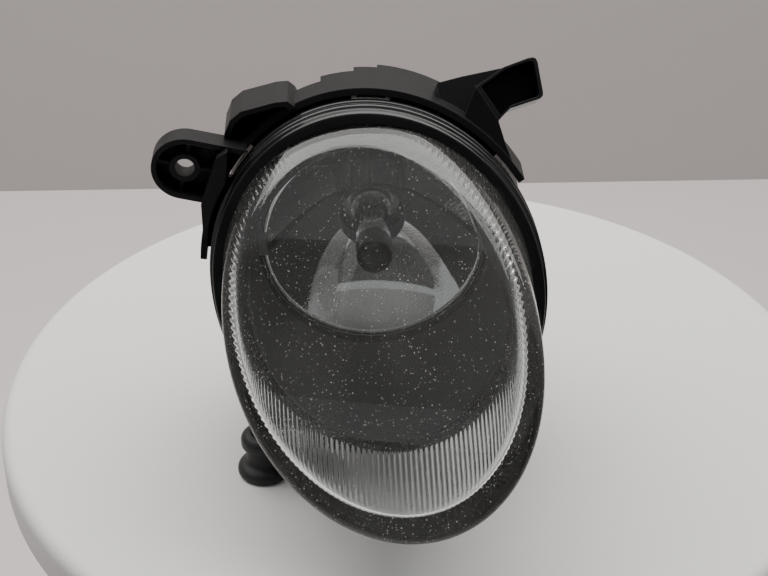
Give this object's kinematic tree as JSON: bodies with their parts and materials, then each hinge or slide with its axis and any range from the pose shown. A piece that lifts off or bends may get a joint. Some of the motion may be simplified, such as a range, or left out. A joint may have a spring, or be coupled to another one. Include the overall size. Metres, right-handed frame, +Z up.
{
  "type": "front fog light",
  "caption": "Round front fog light with a slanted clear lens, fluted lens wall, tilting reflector, twist-lock bulb, aim adjuster, mounting ear, arm and locating peg.",
  "frame": {"origin": "on the optical axis, at the centre of the lens rim's plane", "axes": "+Z up, the lamp shines towards -Y, +X to the right seen from the front"},
  "size_m": [0.1263, 0.1637, 0.1373],
  "materials": {
    "housing_plastic": "satin moulded, charcoal black",
    "ring_plastic": "semi-gloss black",
    "bezel_plastic": "matt black",
    "lens_glass": "clear, fluted on the inside of the wall",
    "black_rubber": "matt",
    "membrane": "white felt-like film",
    "steel": "bright",
    "reflector_coating": "vacuum-metallised",
    "natural_plastic": "natural white",
    "base_plastic": "dark grey, heat resistant",
    "bulb_glass": "clear with a black top coat",
    "filament_wire": "dark coiled wire",
    "terminal_brass": "plain"
  },
  "bodies": {
    "lamp_case": {"housing": "housing_plastic", "retaining_ring": "ring_plastic", "lens": "lens_glass", "lens_seal": "black_rubber", "inner_bezel": "bezel_plastic", "vent_cap": "black_rubber", "vent_membrane": "membrane", "peg_bush": "black_rubber", "pivot_pin_left": "steel", "pivot_pin_right": "steel"},
    "reflector_unit": {"reflector": "reflector_coating", "pivot_bush_left": "natural_plastic", "pivot_bush_right": "natural_plastic"},
    "aim_screw": {"adjuster_screw": "steel", "adjuster_knob": "bezel_plastic", "adjuster_clip": "steel", "adjuster_seal": "black_rubber"},
    "aim_nut": {"adjuster_nut": "natural_plastic"},
    "bulb": {"bulb_base": "base_plastic", "bulb_seal": "black_rubber", "bulb_ferrule": "steel", "bulb_glass": "bulb_glass", "bulb_filament": "filament_wire", "bulb_leads": "steel", "bulb_terminals": "terminal_brass"}
  },
  "joints": [
    {"name": "adjuster_spin", "type": "hinge", "parent": "lamp_case", "child": "aim_screw", "pos_m": [0.014, 0.055, 0.035], "axis": [0, 1, 0], "range_deg": [-360, 360]},
    {"name": "adjuster_nut_slide", "type": "slide", "parent": "lamp_case", "child": "aim_nut", "axis": [0, -1, 0], "range_m": [-0.0015, 0.0015]},
    {"name": "reflector_tilt", "type": "hinge", "parent": "lamp_case", "child": "reflector_unit", "pos_m": [0, 0.031, 0], "axis": [1, 0, 0], "range_deg": [-2.46, 2.46]},
    {"name": "bulb_twist", "type": "hinge", "parent": "lamp_case", "child": "bulb", "pos_m": [0, 0.065, 0], "axis": [0, -1, 0], "range_deg": [0, 40]}
  ],
  "couplings": [
    {"joint": "adjuster_nut_slide", "follows": "adjuster_spin", "m_per_rad": 0.00023873},
    {"joint": "reflector_tilt", "follows": "adjuster_spin", "ratio": 0.0068209}
  ]
}
